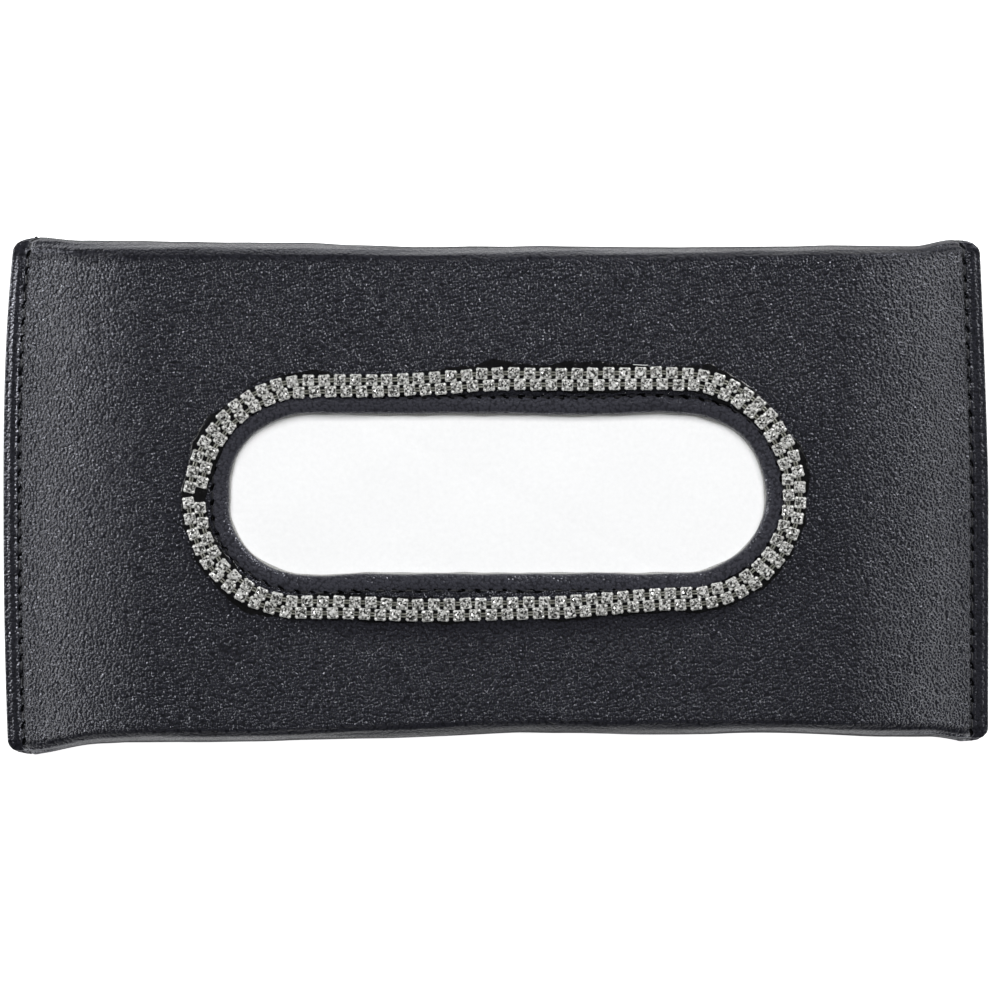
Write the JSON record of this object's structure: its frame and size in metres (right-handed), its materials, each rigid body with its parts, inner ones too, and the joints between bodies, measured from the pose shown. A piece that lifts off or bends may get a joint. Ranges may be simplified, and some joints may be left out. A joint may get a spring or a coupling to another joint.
{
  "type": "car tissue holder",
  "caption": "Soft leather tissue sleeve with an oval slot edged in rhinestone chain, a magnetic refill flap behind, and sprung clips that hang it on a car sun visor.",
  "frame": {"origin": "the middle of the bounding box in X and Y, on the plane that the visor clips rest on when the holder lies on its back", "axes": "+X along the sleeve, to the right in the picture; +Y across it, towards the refill flap's fold; +Z out of the front face, towards the camera"},
  "size_m": [0.23, 0.1194, 0.0301],
  "materials": {
    "leather": "fine-grained charcoal imitation leather with a soft sheen",
    "board": "grey-brown stiffener board",
    "lining": "thin black woven lining",
    "glue": "glossy black set glue",
    "crystal": "bright silver claw cups with clear foiled stones",
    "steel": "plain spring steel",
    "nickel": "nickel plate",
    "tissue": "soft white facial tissue"
  },
  "bodies": {
    "sleeve": {"front_cover": "leather", "slot_edge_roll": "leather", "front_board": "board", "front_lining": "lining", "end_seam_strip_left": "leather", "end_seam_strip_right": "leather", "chain_glue_bed": "glue", "inner_crystal_chain": "crystal", "outer_crystal_chain": "crystal", "back_panel": "leather", "back_board": "board", "back_lining": "lining", "flap_hinge_strip": "leather", "catch_disc_left": "steel", "catch_disc_right": "steel", "clip_base_left": "steel", "clip_base_right": "steel", "clip_backplate_left": "steel", "clip_backplate_right": "steel", "clip_rivet_left_lower": "nickel", "clip_rivet_left_upper": "nickel", "clip_rivet_right_lower": "nickel", "clip_rivet_right_upper": "nickel", "tissue_stack": "tissue", "top_tissue": "tissue"},
    "refill_flap": {"flap_cover": "leather", "flap_board": "board", "flap_lining": "lining", "flap_magnet_left": "nickel", "flap_magnet_right": "nickel"},
    "left_tongue": {"clip_tongue_left": "steel"},
    "right_tongue": {"clip_tongue_right": "steel"}
  },
  "joints": [
    {"name": "flap_hinge", "type": "hinge", "parent": "sleeve", "child": "refill_flap", "pos_m": [0, 0.044, 0.0097], "axis": [1, 0, 0], "range_deg": [0, 120], "stiffness_Nm_per_rad": 0.012, "springref_deg": -22.92},
    {"name": "clip_flex_left", "type": "hinge", "parent": "sleeve", "child": "left_tongue", "pos_m": [-0.06, -0.053, 0.005], "axis": [-1, 0, 0], "range_deg": [0, 22], "stiffness_Nm_per_rad": 1, "springref_deg": -2.86},
    {"name": "clip_flex_right", "type": "hinge", "parent": "sleeve", "child": "right_tongue", "pos_m": [0.06, -0.053, 0.005], "axis": [-1, 0, 0], "range_deg": [0, 22], "stiffness_Nm_per_rad": 1, "springref_deg": -2.86}
  ]
}
